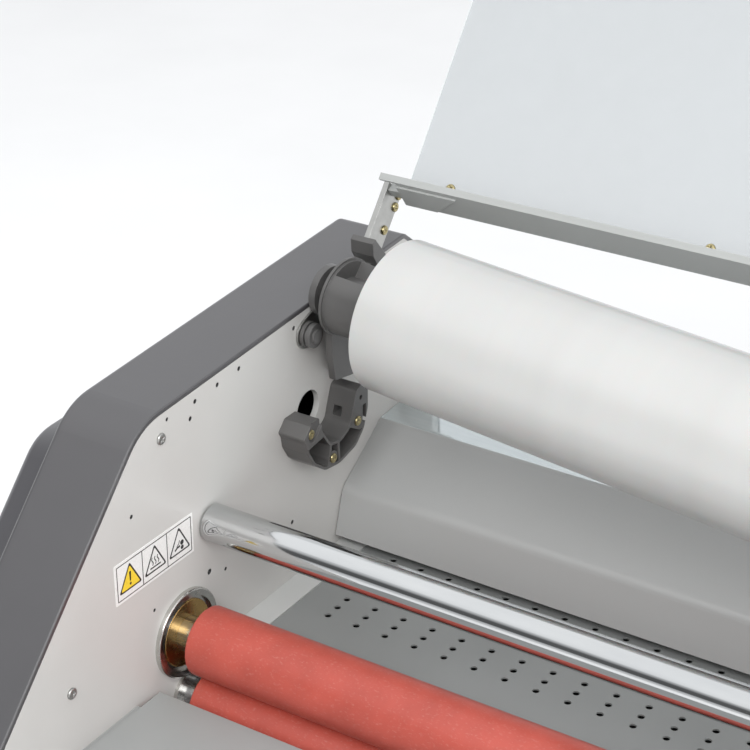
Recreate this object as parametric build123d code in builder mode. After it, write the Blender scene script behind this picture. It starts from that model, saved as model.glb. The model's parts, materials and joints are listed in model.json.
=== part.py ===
"""Wide-format roll laminator, as an assembly of separate pieces (millimetres).

X runs across the machine, Y towards its rear and Z up; the origin is under the middle of the
overall box.  Pieces of the left side are built at their place and mirrored for the right side
where both sides are alike.
"""

from build123d import *
from math import atan2, cos, radians, sin
import os

os.makedirs("parts", exist_ok=True)

# ------------------------------------------------------------------ driving dimensions
half_gap = 360.0            # middle of the machine to the inner face of a side plate
plate_t = 5.0               # side plate
band_w = 68.0               # width of the dark cover band outside each plate
panel_bulge = 37.0          # how far the outer panel stands out from the band
cover_wall = 3.0
floor_z = 30.0              # underside of the base pan, which is the height of the feet
fit = 0.08                  # radial clearance of a running fit

# outline of a side plate in (Y, Z): front foot, front, nose, crest, rear shoulder, rear, rear foot
side_points = [(-245, 30), (-295, 120), (-295, 235), (-100.9, 441.8), (250.7, 463.4),
               (305, 422), (305, 110), (255, 30)]
side_radii = [14, 30, 34, 50, 6, 24, 30, 14]
# the outer panel follows the plate's front but has a lower, level top
bulge_points = [(-245, 30), (-295, 120), (-295, 235), (-112, 429.5), (240, 437),
                (305, 375), (305, 110), (255, 30)]
bulge_radii = [44, 54, 60, 60, 44, 50, 54, 44]
band_lip = 4.0              # how far the cover band stands proud of the plate's edge

nip_z = 220.0
main_y, main_r, main_shaft_r = -64.0, 27.85, 14.0
sleeve_t, sleeve_half, core_half = 6.0, 340.0, 339.0
upper_main_z, lower_main_z = nip_z + 28.0, nip_z - 28.0
idler_y, idler_r, idler_rise = -27.5, 15.0, 108.5
pull_y, pull_r = 195.0, 23.85
upper_pull_z, lower_pull_z = nip_z + 24.0, nip_z - 24.0
nip_lift = 4.0              # travel of the upper main roller when the nip is released

bearing_flange_r, bearing_recess_r, bearing_hub_r = 36.5, 30.5, 30.0
lower_flange_r, lower_hub_r = 19.2, 18.0
bushing_r = 18.0

gear_x, gear_w = 376.0, 10.0
belt_x, belt_w, belt_t, belt_gap = 388.0, 9.0, 2.0, 0.4
main_pulley_r, pull_pulley_r, motor_pulley_r = 21.0, 18.0, 12.0
motor_y, motor_z = 60.0, 120.0

release_y, release_z, release_shaft_r = -112.0, 128.0, 6.0
lever_turn = 60.0
eccentric_r = 12.0
eccentric = nip_lift / sin(radians(lever_turn))
lever_x = 447.0             # floor of the round recess that holds the nip lever

# film roll: left journal, and the lean of its axis while the right end is being lifted in
journal = (-343.2, 124.67, 464.97)
lean_y, lean_z = -0.0815, -0.0450
roll_r, core_out_r, core_in_r = 61.0, 41.5, 38.0
journal_r, journal_disk_r, journal_disk_t = 12.0, 21.0, 6.0
neck_half, flange_r, flange_t = 6.2, 32.0, 2.2
mandrel_r, journal_pitch = 8.0, 686.4
film_start = 58.45          # left journal to the left end of the film
seat_r = 12.8

# shield: foot of the clear panel, its lean and its size
shield_y, shield_z = 219.0, 527.0
shield_run, shield_rise = 0.6, 0.8
shield_length, shield_half, shield_t = 225.0, 335.0, 3.0
channel_lip_half, channel_half = 357.5, 342.0
pivot_y, pivot_z = 103.0, 435.0

tray_top = nip_z - 0.8
hole_pitch_x, hole_pitch_y, hole_r = 27.1, 13.8, 2.8
table_front, table_rear, table_half = -355.2, -104.0, 355.0

lower_seat_y, lower_seat_z = 112.0, 362.0


def save(piece, name):
    """Name a finished piece and write it."""
    piece.part.label = name
    export_step(piece.part, f"parts/{name}.step")


def side_outline(grow, points=side_points, radii=side_radii):
    """Outline of a side plate, or of the points given, grown outwards by `grow`."""
    with BuildSketch() as outline:
        with BuildLine():
            FilletPolyline(*points, radius=radii, close=True)
        make_face()
        if grow:
            offset(amount=grow)
    return outline.sketch


def polygon(points):
    """Closed straight-sided face through the points, in the current sketch."""
    Polygon(*points, align=None)


def across(x):
    """Plane at X = x whose sketch axes are Y and Z."""
    return Plane.YZ.offset(x)


# ------------------------------------------------------------------ frame
plate_holes = [(-72.2, 436.3, 1.6), (-39, 436.3, 2.0), (-11.5, 438.2, 2.0), (15.7, 440.2, 2.0),
               (88.4, 444.9, 2.0), (115.3, 446.4, 2.2), (-117.9, 377.4, 1.8), (-45.5, 424.8, 2.0),
               (-30.6, 284.4, 2.6), (-10.2, 276.2, 1.8), (80.8, 272.5, 2.0), (-98.5, 286.8, 1.6)]
round_port = (106.0, 366.5, 15.5)
mount_pitch, mount_hole_r = 400.0, 4.5


def side_plate(right):
    """Side plate with its rear and base flanges, built on the left and mirrored for the right."""
    with BuildPart() as plate:
        with BuildSketch(across(-half_gap - plate_t)):
            add(side_outline(0))
        extrude(amount=plate_t)
        with BuildSketch(Plane.XY.offset(310)):
            with Locations((-half_gap, 250.0)):
                Rectangle(29, 3, align=(Align.MIN, Align.MIN))
        extrude(amount=120)
        with BuildSketch(across(-half_gap - plate_t)):
            for y, z, r in plate_holes:
                with Locations((y, z)):
                    Circle(r)
            with Locations(round_port[:2]):
                Circle(round_port[2])
            with Locations((main_y, lower_main_z)):
                Circle(lower_hub_r)
            with Locations((main_y, upper_main_z), (main_y, upper_main_z + nip_lift)):
                Circle(bearing_hub_r + 0.3)
            with Locations((main_y, upper_main_z + nip_lift / 2)):
                Rectangle(2 * (bearing_hub_r + 0.3), nip_lift)
            with Locations((idler_y, nip_z + idler_rise), (idler_y, nip_z - idler_rise)):
                Circle(8 + fit)
            with Locations((pull_y, upper_pull_z), (pull_y, lower_pull_z)):
                Circle(9 + fit)
            with Locations((release_y, release_z)):
                Circle(release_shaft_r + fit)
            if right:
                with Locations((motor_y, motor_z)):
                    Circle(8)
        extrude(amount=plate_t, mode=Mode.SUBTRACT)
        if right:
            mirror(about=Plane.YZ, mode=Mode.REPLACE)
    return plate


save(side_plate(False), "left_side_plate")
save(side_plate(True), "right_side_plate")

with BuildPart() as base_pan:
    with BuildSketch(Plane.XY.offset(floor_z)):
        with Locations((0, 5)):
            Rectangle(2 * half_gap, 480)
    extrude(amount=2.5)
    with BuildSketch(Plane.XY.offset(floor_z)):
        with Locations((0, -233.75), (0, 243.75)):
            Rectangle(2 * half_gap, 2.5)
    extrude(amount=26)
    with BuildSketch(Plane.XY.offset(floor_z)):
        with GridLocations(mount_pitch, mount_pitch, 2, 2):
            Circle(mount_hole_r)
    extrude(amount=2.5, mode=Mode.SUBTRACT)
    with BuildSketch(Plane.XY.offset(floor_z)):
        with GridLocations(34, 90, 9, 4):
            SlotOverall(24, 5)
    extrude(amount=2.5, mode=Mode.SUBTRACT)
save(base_pan, "base_pan")

with BuildPart() as tie_rods:
    with BuildSketch(across(-half_gap)):
        with Locations((-205, 78), (215, 78), (225, 150), (-205, 160)):
            Circle(8)
    extrude(amount=2 * half_gap)
save(tie_rods, "tie_rods")

with BuildPart() as rubber_feet:
    with BuildSketch():
        with GridLocations(640, 400, 2, 2):
            Circle(20)
    extrude(amount=floor_z, taper=-6)
    chamfer(rubber_feet.edges().group_by(Axis.Z)[0], 2)
save(rubber_feet, "rubber_feet")

with BuildPart() as rear_panel:
    with BuildSketch(Plane.XZ.offset(-256)):
        with Locations((0, floor_z + 4)):
            Rectangle(2 * half_gap, 120, align=(Align.CENTER, Align.MIN))
        with Locations((250, 95)):
            Rectangle(27.4, 47.4, mode=Mode.SUBTRACT)
        with Locations((190, 95)):
            Rectangle(18.6, 26.6, mode=Mode.SUBTRACT)
        with Locations((-150, 95)):
            with GridLocations(9, 60, 22, 1):
                SlotOverall(70, 4, rotation=90, mode=Mode.SUBTRACT)
    extrude(amount=2)
save(rear_panel, "rear_panel")

with BuildPart() as rear_guard:
    with BuildSketch(Plane.XZ.offset(-256)):
        with Locations((0, 312)):
            Rectangle(2 * half_gap - 6, 92, align=(Align.CENTER, Align.MIN))
    extrude(amount=3)
    fillet(rear_guard.edges().filter_by(Axis.Y), 4)
save(rear_guard, "rear_guard")


# ------------------------------------------------------------------ covers
def cover_band(right):
    """Dark band around a side plate, with an inner web that carries the outer panel."""
    with BuildPart() as band:
        with BuildSketch(across(-half_gap - band_w)):
            add(side_outline(band_lip))
        extrude(amount=band_w)
        outer_rim = band.faces().sort_by(Axis.X)[0].edges()
        fillet(outer_rim, 5)
        inner_rim = band.faces().sort_by(Axis.X)[-1].edges()
        chamfer(inner_rim, 0.8)
        with BuildSketch(across(-half_gap - band_w + cover_wall)):
            add(side_outline(0.05))
        extrude(amount=band_w, mode=Mode.SUBTRACT)
        with BuildSketch(across(-half_gap - band_w)):
            add(side_outline(-24, bulge_points, bulge_radii))
        extrude(amount=cover_wall, mode=Mode.SUBTRACT)
        if right:
            mirror(about=Plane.YZ, mode=Mode.REPLACE)
    return band


def bulged(inset, depth, radius, x):
    """Solid of the outer panel's bulged shape: the plate's outline drawn in towards the outside."""
    with BuildPart() as bulge:
        with BuildSketch(across(x)):
            add(side_outline(-inset, bulge_points, bulge_radii))
        extrude(amount=-depth, taper=22)
        fillet(bulge.faces().sort_by(Axis.X)[0].edges(), radius)
    return bulge.part


def cover_panel(right):
    """Hollow bulged panel that closes the outside of a cover."""
    outside_x = -half_gap - band_w
    with BuildPart() as panel:
        add(bulged(7, panel_bulge, 14, outside_x))
        add(bulged(10, panel_bulge - cover_wall, 11, outside_x), mode=Mode.SUBTRACT)
        if right:
            with BuildSketch(across(-lever_x)):
                with Locations((release_y, release_z + 20)):
                    Circle(63)
            extrude(amount=3)
            with BuildSketch(across(-lever_x)):
                with Locations((release_y, release_z + 20)):
                    Circle(63)
                    Circle(60.5, mode=Mode.SUBTRACT)
            extrude(amount=-(half_gap + band_w + panel_bulge - lever_x))
            with BuildSketch(across(-lever_x)):
                with Locations((release_y, release_z + 20)):
                    Circle(60.5)
            extrude(amount=-40, mode=Mode.SUBTRACT)
            with BuildSketch(across(-lever_x + 5)):
                with Locations((release_y, release_z)):
                    Circle(release_shaft_r + 0.5)
            extrude(amount=-20, mode=Mode.SUBTRACT)
            mirror(about=Plane.YZ, mode=Mode.REPLACE)
    return panel


save(cover_band(False), "left_cover_band")
save(cover_band(True), "right_cover_band")
save(cover_panel(False), "left_cover_panel")
save(cover_panel(True), "right_cover_panel")


# ------------------------------------------------------------------ main rollers
def roller_core(z):
    """Steel core of a main roller with its journals."""
    with BuildPart() as core:
        with BuildSketch(across(-core_half)):
            with Locations((main_y, z)):
                Circle(main_r - sleeve_t)
        extrude(amount=2 * core_half)
        with BuildSketch(across(-370)):
            with Locations((main_y, z)):
                Circle(main_shaft_r)
        extrude(amount=370 + belt_x + belt_w)
    return core


def roller_sleeve(z):
    """Silicone sleeve of a main roller, with rounded ends."""
    with BuildPart() as sleeve:
        with BuildSketch(across(-sleeve_half)):
            with Locations((main_y, z)):
                Circle(main_r)
        extrude(amount=2 * sleeve_half)
        fillet(sleeve.edges(), 2)
        with BuildSketch(across(-sleeve_half)):
            with Locations((main_y, z)):
                Circle(main_r - sleeve_t)
        extrude(amount=2 * sleeve_half, mode=Mode.SUBTRACT)
    return sleeve


def upper_housings(z):
    """Plated housings of the upper bearings with the rods that lift them, left and right."""
    rod_foot = release_z + eccentric_r + 0.6
    with BuildPart() as housings:
        with BuildSketch(across(-half_gap)):
            with Locations((main_y, z)):
                Circle(bearing_flange_r)
        extrude(amount=4)
        fillet(housings.edges().sort_by(Axis.X)[-1], 1.2)
        with BuildSketch(across(-half_gap - 8)):
            with Locations((main_y, z)):
                Circle(bearing_hub_r - 0.05)
        extrude(amount=8)
        with BuildSketch(across(-half_gap - 12)):
            with Locations((main_y, z)):
                Circle(20)
            with Locations(((main_y + release_y) / 2, z)):
                Rectangle(main_y - release_y + 14, 14)
        extrude(amount=4)
        with BuildSketch(Plane.XY.offset(rod_foot)):
            with Locations((-half_gap - 10, release_y)):
                Rectangle(4, 10)
        extrude(amount=z - rod_foot)
        with BuildSketch(across(-half_gap + 1)):
            with Locations((main_y, z)):
                Circle(bearing_recess_r)
        extrude(amount=3, mode=Mode.SUBTRACT)
        with BuildSketch(across(-half_gap - 12)):
            with Locations((main_y, z)):
                Circle(bushing_r)
        extrude(amount=20, mode=Mode.SUBTRACT)
        mirror(about=Plane.YZ)
    return housings


def lower_housings(z):
    """Flanged bearings of the lower main roller, left and right."""
    with BuildPart() as housings:
        with BuildSketch(across(-half_gap)):
            with Locations((main_y, z)):
                Circle(lower_flange_r)
        extrude(amount=3)
        with BuildSketch(across(-half_gap - 10)):
            with Locations((main_y, z)):
                Circle(lower_hub_r)
        extrude(amount=10)
        with BuildSketch(across(-half_gap - 10)):
            with Locations((main_y, z)):
                Circle(main_shaft_r + fit)
        extrude(amount=14, mode=Mode.SUBTRACT)
        mirror(about=Plane.YZ)
    return housings


def brass_bushings(z):
    """Flanged brass bushings of one main roller, left and right."""
    with BuildPart() as bushings:
        with BuildSketch(across(-half_gap - 8)):
            with Locations((main_y, z)):
                Circle(bushing_r)
        extrude(amount=9)
        with BuildSketch(across(-half_gap + 1)):
            with Locations((main_y, z)):
                Circle(bearing_recess_r - 3)
        extrude(amount=1.6)
        fillet(bushings.edges().sort_by(Axis.X)[-1], 0.6)
        with BuildSketch(across(-half_gap - 8)):
            with Locations((main_y, z)):
                Circle(main_shaft_r + fit)
        extrude(amount=12, mode=Mode.SUBTRACT)
        mirror(about=Plane.YZ)
    return bushings


save(roller_core(upper_main_z), "upper_roller_core")
save(roller_core(lower_main_z), "lower_roller_core")
save(roller_sleeve(upper_main_z), "upper_roller_sleeve")
save(roller_sleeve(lower_main_z), "lower_roller_sleeve")
save(upper_housings(upper_main_z), "upper_bearing_housings")
save(lower_housings(lower_main_z), "lower_bearing_housings")
save(brass_bushings(upper_main_z), "upper_bushings")


# ------------------------------------------------------------------ idler bars and pull rollers
def idler_bar(z):
    """Polished idler bar with a stub shaft at each end."""
    with BuildPart() as bar:
        with BuildSketch(across(-half_gap + 1.8)):
            with Locations((idler_y, z)):
                Circle(idler_r)
        extrude(amount=2 * half_gap - 3.6)
        chamfer(bar.edges(), 0.8)
        with BuildSketch(across(-half_gap - 8)):
            with Locations((idler_y, z)):
                Circle(8)
        extrude(amount=2 * half_gap + 16)
    return bar


def pull_roller(z, gear_turn, pulley_r):
    """Pull roller: a shaft with nine rubber-covered lands, and its gear pressed on."""
    lands, land_w, pitch = 9, 56, 78
    with BuildPart() as roller:
        with BuildSketch(across(-half_gap + 1)):
            with Locations((pull_y, z)):
                Circle(14)
        extrude(amount=2 * half_gap - 2)
        for i in range(lands):
            with BuildSketch(across((i - lands // 2) * pitch - land_w / 2)):
                with Locations((pull_y, z)):
                    Circle(pull_r)
            extrude(amount=land_w)
        with BuildSketch(across(-half_gap - 8)):
            with Locations((pull_y, z)):
                Circle(9)
        extrude(amount=half_gap + 8 + belt_x + belt_w)
        add(spur_gear(pull_y, z, 24, gear_turn, pulley_r, 9).part)
    return roller


save(idler_bar(nip_z + idler_rise), "upper_idler_bar")
save(idler_bar(nip_z - idler_rise), "lower_idler_bar")


# ------------------------------------------------------------------ drive
def spur_gear(y, z, teeth, turn, pulley_r, bore):
    """Spur gear of module 2 with shortened teeth, and a belt pulley beside it where it has one."""
    pitch_r = teeth
    with BuildPart() as gear:
        with BuildSketch(across(gear_x)):
            with Locations((y, z)):
                Circle(pitch_r - 1.6)
                with PolarLocations(0, teeth, start_angle=turn):
                    with Locations((pitch_r - 0.4, 0)):
                        Trapezoid(1.9, 3.2, 78, rotation=-90)
        extrude(amount=gear_w)
        if pulley_r:
            with BuildSketch(across(gear_x + gear_w)):
                with Locations((y, z)):
                    Circle(pulley_r + 3)
            extrude(amount=1.6)
            with BuildSketch(across(belt_x - 0.4)):
                with Locations((y, z)):
                    Circle(pulley_r)
            extrude(amount=belt_w + 0.4)
        with BuildSketch(across(gear_x)):
            with Locations((y, z)):
                Circle(bore)
        extrude(amount=belt_x + belt_w - gear_x, mode=Mode.SUBTRACT)
    return gear


half_tooth_main, half_tooth_pull = 180 / 28, 180 / 24
save(spur_gear(main_y, upper_main_z, 28, 90, 0, main_shaft_r), "upper_main_gear")
save(spur_gear(main_y, lower_main_z, 28, 90 + half_tooth_main, main_pulley_r, main_shaft_r),
     "lower_main_gear")
save(pull_roller(upper_pull_z, 90, 0), "upper_pull_roller")
save(pull_roller(lower_pull_z, 90 + half_tooth_pull, pull_pulley_r), "lower_pull_roller")

belt_stations = [(main_y, lower_main_z, main_pulley_r), (pull_y, lower_pull_z, pull_pulley_r),
                 (motor_y, motor_z, motor_pulley_r)]


def belt_hull(grow):
    """Taut outline round the three pulleys."""
    with BuildSketch() as hull:
        for y, z, r in belt_stations:
            with Locations((y, z)):
                Circle(r + grow)
        make_hull(hull.edges())
    return hull.sketch


with BuildPart() as drive_belt:
    with BuildSketch(across(belt_x)):
        add(belt_hull(belt_gap + belt_t))
        add(belt_hull(belt_gap), mode=Mode.SUBTRACT)
    extrude(amount=belt_w)
save(drive_belt, "drive_belt")

with BuildPart() as motor_pulley:
    with BuildSketch(across(half_gap - 4)):
        with Locations((motor_y, motor_z)):
            Circle(5)
    extrude(amount=belt_x + belt_w - half_gap + 4)
    with BuildSketch(across(belt_x - 0.4)):
        with Locations((motor_y, motor_z)):
            Circle(motor_pulley_r)
    extrude(amount=belt_w + 0.4)
    with BuildSketch(across(belt_x - 2.4)):
        with Locations((motor_y, motor_z)):
            Circle(motor_pulley_r + 3)
    extrude(amount=2)
save(motor_pulley, "motor_pulley")

with BuildPart() as drive_motor:
    with BuildSketch(across(half_gap - 45)):
        with Locations((motor_y, motor_z)):
            RectangleRounded(70, 70, 6)
    extrude(amount=45)
    with BuildSketch(across(half_gap - 45)):
        with Locations((motor_y, motor_z)):
            Circle(30)
    extrude(amount=-80)
    with BuildSketch(across(half_gap - 6)):
        with Locations((motor_y, motor_z)):
            Circle(5 + fit)
    extrude(amount=6, mode=Mode.SUBTRACT)
save(drive_motor, "drive_motor")

# ------------------------------------------------------------------ web path
with BuildPart() as perforated_tray:
    with BuildSketch(Plane.XY.offset(tray_top - 1.5)):
        with Locations((0, 74)):
            Rectangle(2 * half_gap, 188)
    extrude(amount=1.5)
    with BuildSketch(Plane.XY.offset(tray_top)):
        with Locations((-half_gap + 12, 74), (half_gap - 12, 74)):
            Rectangle(24, 188)
    extrude(amount=1.2)
    with BuildSketch(Plane.XY.offset(tray_top - 16)):
        with Locations((0, -18.75), (0, 166.75)):
            Rectangle(2 * half_gap, 2.5)
    extrude(amount=15)
    with BuildSketch(Plane.XY.offset(tray_top)):
        for y, rows in ((70.3, 4), (119.5, 2), (148.3, 1)):
            with Locations((7.0, y)):
                with GridLocations(hole_pitch_x, hole_pitch_y, 24, rows):
                    Circle(hole_r)
    extrude(amount=-1.5, mode=Mode.SUBTRACT)
save(perforated_tray, "perforated_tray")

# front lower edge, front bend, top bend and rear edge of the hood in (Y, Z)
hood_points = [(143.0, 229.5), (154.8, 269.4), (213.8, 309.8), (246.1, 311.6)]
with BuildPart() as hood:
    with BuildSketch(across(-half_gap + 0.8)):
        with BuildLine() as hood_line:
            FilletPolyline(*hood_points, radius=[14, 9])
        trace(hood_line.line, line_width=1.5)
    extrude(amount=2 * half_gap - 1.6)
save(hood, "hood")

fan_x, fan_y, fan_z, fan_size = 150.0, 74.0, 176.0, 92.0
with BuildPart() as fan_frames:
    for x in (-fan_x, fan_x):
        with BuildSketch(Plane.XY.offset(fan_z)):
            with Locations((x, fan_y)):
                RectangleRounded(fan_size, fan_size, 5)
                Circle(fan_size / 2 - 4, mode=Mode.SUBTRACT)
                with GridLocations(82, 82, 2, 2):
                    Circle(2.2, mode=Mode.SUBTRACT)
        extrude(amount=25)
        with BuildSketch(Plane.XY.offset(fan_z)):
            with Locations((x, fan_y)):
                Circle(18)
                with PolarLocations(31, 3, start_angle=30):
                    Rectangle(34, 4)
        extrude(amount=3)
        with BuildSketch(Plane.XY.offset(fan_z)):
            with Locations((x, fan_y)):
                Circle(3)
        extrude(amount=10)
save(fan_frames, "fan_frames")


def fan_rotor(x):
    """Seven-bladed rotor that turns on the frame's pin."""
    with BuildPart() as rotor:
        with BuildSketch(Plane.XY.offset(fan_z + 4)):
            with Locations((x, fan_y)):
                Circle(17)
                with PolarLocations(27, 7):
                    Rectangle(24, 3, rotation=0)
        extrude(amount=18)
        with BuildSketch(Plane.XY.offset(fan_z + 4)):
            with Locations((x, fan_y)):
                Circle(3 + fit)
        extrude(amount=6.4, mode=Mode.SUBTRACT)
    return rotor


save(fan_rotor(-fan_x), "fan_rotor_left")
save(fan_rotor(fan_x), "fan_rotor_right")

with BuildPart() as feed_table:
    with BuildSketch(Plane.XY.offset(nip_z - 4)):
        with Locations((0, (table_front + table_rear) / 2)):
            Rectangle(2 * table_half, table_rear - table_front)
    extrude(amount=2)
    with BuildSketch(across(-table_half)):
        with Locations((table_front, nip_z - 26)):
            Rectangle(2, 23, align=(Align.MIN, Align.MIN))
    extrude(amount=2 * table_half)
    with BuildSketch(across(-half_gap)):
        with Locations((-200, nip_z - 14)):
            Rectangle(150, 20)
    extrude(amount=6)
    with BuildSketch(across(half_gap)):
        with Locations((-200, nip_z - 14)):
            Rectangle(150, 20)
    extrude(amount=-6)
save(feed_table, "feed_table")

# ------------------------------------------------------------------ nip release
with BuildPart() as release_shaft:
    with BuildSketch(across(-half_gap - 16)):
        with Locations((release_y, release_z)):
            Circle(release_shaft_r)
    extrude(amount=half_gap + 16 + lever_x + 4)
    for x in (-half_gap - 14, half_gap + 6):
        with BuildSketch(across(x)):
            with Locations((release_y - eccentric, release_z)):
                Circle(eccentric_r)
        extrude(amount=8)
save(release_shaft, "release_shaft")

lever_reach = 42.0
with BuildPart() as nip_lever:
    with BuildSketch(across(lever_x + 4)):
        with Locations((release_y, release_z)):
            Circle(14)
        with Locations((release_y, release_z + lever_reach / 2)):
            Rectangle(15, lever_reach)
        with Locations((release_y, release_z + lever_reach)):
            Circle(11)
    extrude(amount=8)
    chamfer(nip_lever.edges().group_by(Axis.X)[-1], 1.2)
save(nip_lever, "nip_lever")


# ------------------------------------------------------------------ cradles
def upper_cradle(saddle_near, saddle_t, ledge):
    """Cradle for a journal, a foot on the plate; `ledge` adds the loading ramp."""
    with BuildPart() as cradle:
        front = [(108, 467), (105, 458), (112, 438), (114, 410)]
        if ledge:
            front = [(131.2, 453.2), (68, 417.3), (57, 418), (55, 431), (50, 431), (49, 412),
                     (80, 402), (112, 394)]
        with BuildSketch(across(-half_gap + saddle_near)):
            polygon(front + [(118, 392), (155, 385), (157, 420), (167, 450), (175, 470),
                             (182, 480), (166.5, 498), (163, 495), (164, 484), (170, 476),
                             (160, 462)])
            with Locations(journal[1:]):
                Circle(seat_r, mode=Mode.SUBTRACT)
        extrude(amount=saddle_t)
        with BuildSketch(across(-half_gap + 4.5)):
            polygon([(173, 466), (182, 480), (166.5, 498), (163, 495), (164, 484), (168, 478)])
        extrude(amount=21)
        with BuildSketch(across(-half_gap)):
            polygon([(136, 388.5), (155, 385), (158, 424), (140, 424)])
        extrude(amount=saddle_near + saddle_t)
    return cradle


lip = [(64, 363), (73, 372), (89, 372), (89, 361), (101, 344), (115, 341), (129, 347),
       (134, 362), (139, 375), (147, 378), (156, 370), (156, 353), (150, 336), (138, 325),
       (114, 320), (93, 323), (77, 335), (69, 348), (67, 358)]
lip_radii = [2, 2, 2, 6, 12, 14, 10, 12, 4, 3, 5, 16, 14, 14, 22, 16, 14, 8, 2]


def lower_cradle_outline(grow):
    """Face outline of the open lower cradle."""
    with BuildSketch() as outline:
        with BuildLine():
            FilletPolyline(*lip, radius=lip_radii, close=True)
        make_face()
        if grow:
            offset(amount=grow, kind=Kind.INTERSECTION)
    return outline.sketch


cradle_screw_seats = [(76.3, 362.6), (104.1, 329.2), (140.4, 347.0)]


def lower_cradle():
    """Moulded lower cradle with open cells on its inner face."""
    with BuildPart() as cradle:
        with BuildSketch(across(-half_gap)):
            add(lower_cradle_outline(0))
        extrude(amount=25)
        with BuildSketch(across(-half_gap + 25)):
            add(lower_cradle_outline(-2.2))
            for solid in ([(60, 351), (98, 355), (95, 382), (60, 382)],
                          [(126, 347.5), (143, 337.5), (162, 337.5), (162, 382), (126, 382)],
                          [(101, 345), (96, 317), (98.6, 317), (103.6, 345)],
                          [(111, 345), (112.5, 315), (115.1, 315), (113.6, 345)]):
                with BuildSketch(mode=Mode.SUBTRACT):
                    polygon(solid)
            with Locations(cradle_screw_seats[1]):
                Circle(6.2, mode=Mode.SUBTRACT)
        extrude(amount=-19, mode=Mode.SUBTRACT)
        with BuildSketch(across(-half_gap + 25)):
            with Locations((150.6, 350)):
                Rectangle(5, 16)
            with Locations((145.5, 366.3)):
                Circle(2.2)
        extrude(amount=-12, mode=Mode.SUBTRACT)
        with BuildSketch(across(-half_gap + 25)):
            with Locations((80.5, 367)):
                SlotOverall(24, 13, rotation=48)
        extrude(amount=-2.5, mode=Mode.SUBTRACT)
        with BuildSketch(Plane.XZ.offset(-125)):
            with Locations((-349, 356)):
                Rectangle(8, 8)
        extrude(amount=-17, mode=Mode.SUBTRACT)
    return cradle


upper_left = upper_cradle(13.1, 6.3, False)
save(upper_left, "upper_cradle_left")
with BuildPart() as upper_right:
    mirror(upper_cradle(16.2, 5.2, True).part, about=Plane.YZ)
save(upper_right, "upper_cradle_right")
lower_left = lower_cradle()
save(lower_left, "lower_cradle_left")
with BuildPart() as lower_right:
    mirror(lower_left.part, about=Plane.YZ)
save(lower_right, "lower_cradle_right")

with BuildPart() as cradle_screws:
    with BuildSketch(across(-half_gap + 22.5)):
        with Locations(cradle_screw_seats[0]):
            Circle(4.2)
    extrude(amount=1.8)
    with BuildSketch(across(-half_gap + 25)):
        with Locations(*cradle_screw_seats[1:]):
            Circle(4.2)
    extrude(amount=1.8)
    mirror(about=Plane.YZ)
save(cradle_screws, "cradle_screws")

with BuildPart() as frame_screws:
    with BuildSketch(across(-half_gap)):
        with Locations((-80.6, 424.2), (-195, 270), (-240, 110), (230, 250)):
            Circle(4.5)
    extrude(amount=2)
    fillet(frame_screws.edges().group_by(Axis.X)[-1], 1.2)
    mirror(about=Plane.YZ)
save(frame_screws, "frame_screws")

# ------------------------------------------------------------------ film roll on its mandrel
lean = Vector(1, lean_y, lean_z).normalized()
origin = Vector(*journal)


def along(s):
    """Plane across the leaning roll axis, `s` from the left journal."""
    return Plane(origin + lean * s, x_dir=(0, 0, 1), z_dir=lean)


with BuildPart() as supply_mandrel:
    with BuildSketch(along(-neck_half)):
        Circle(mandrel_r)
    extrude(amount=journal_pitch + 2 * neck_half)
    for middle in (0, journal_pitch):
        with BuildSketch(along(middle - neck_half)):
            Circle(journal_r)
        extrude(amount=2 * neck_half)
    with BuildSketch(along(-neck_half - journal_disk_t)):
        Circle(journal_disk_r)
    extrude(amount=journal_disk_t)
    with BuildSketch(along(journal_pitch + neck_half)):
        Circle(journal_disk_r)
    extrude(amount=journal_disk_t)
save(supply_mandrel, "supply_mandrel")


def film_hub(start, direction):
    """End cap that turns on the mandrel: flange, ribbed barrel and the plug inside the core."""
    with BuildPart() as hub:
        with BuildSketch(along(start)):
            Circle(flange_r)
        extrude(amount=direction * flange_t)
        barrel = abs(film_start - neck_half - 0.3 - flange_t)
        first = start + direction * flange_t
        with BuildSketch(along(first)):
            Circle(30)
        extrude(amount=direction * barrel)
        with BuildSketch(along(first + direction * barrel)):
            Circle(core_in_r)
        extrude(amount=direction * 28)
        with BuildSketch(along(first + direction * 2)):
            with PolarLocations(0, 3, start_angle=-11):
                with BuildLine():
                    inner = CenterArc((0, 0), 17, -30, 60)
                    outer = CenterArc((0, 0), 33, -34, 68)
                    Line(inner @ 0, outer @ 0)
                    Line(inner @ 1, outer @ 1)
                make_face()
        extrude(amount=direction * (barrel - 4), mode=Mode.SUBTRACT)
        with BuildSketch(along(start)):
            Circle(mandrel_r + fit)
        extrude(amount=direction * 120, mode=Mode.SUBTRACT)
    return hub


hub_gap = 0.3
with BuildPart() as film_hubs:
    add(film_hub(neck_half + hub_gap, 1).part)
    add(film_hub(journal_pitch - neck_half - hub_gap, -1).part)
save(film_hubs, "film_hubs")

film_length = journal_pitch - 2 * film_start
with BuildPart() as film_core:
    with BuildSketch(along(film_start)):
        Circle(core_out_r)
        Circle(core_in_r, mode=Mode.SUBTRACT)
    extrude(amount=film_length)
save(film_core, "film_core")

with BuildPart() as film_roll:
    with BuildSketch(along(film_start)):
        Circle(roll_r)
    extrude(amount=film_length)
    fillet(film_roll.edges(), 1.0)
    with BuildSketch(along(film_start)):
        Circle(core_out_r)
    extrude(amount=film_length, mode=Mode.SUBTRACT)
save(film_roll, "film_roll")


# ------------------------------------------------------------------ shield
def shield_plane(x):
    """Plane at X = x with its first axis up the clear panel and its second out of its front."""
    return Plane((x, shield_y, shield_z), x_dir=(0, shield_run, shield_rise), z_dir=(1, 0, 0))


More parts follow.
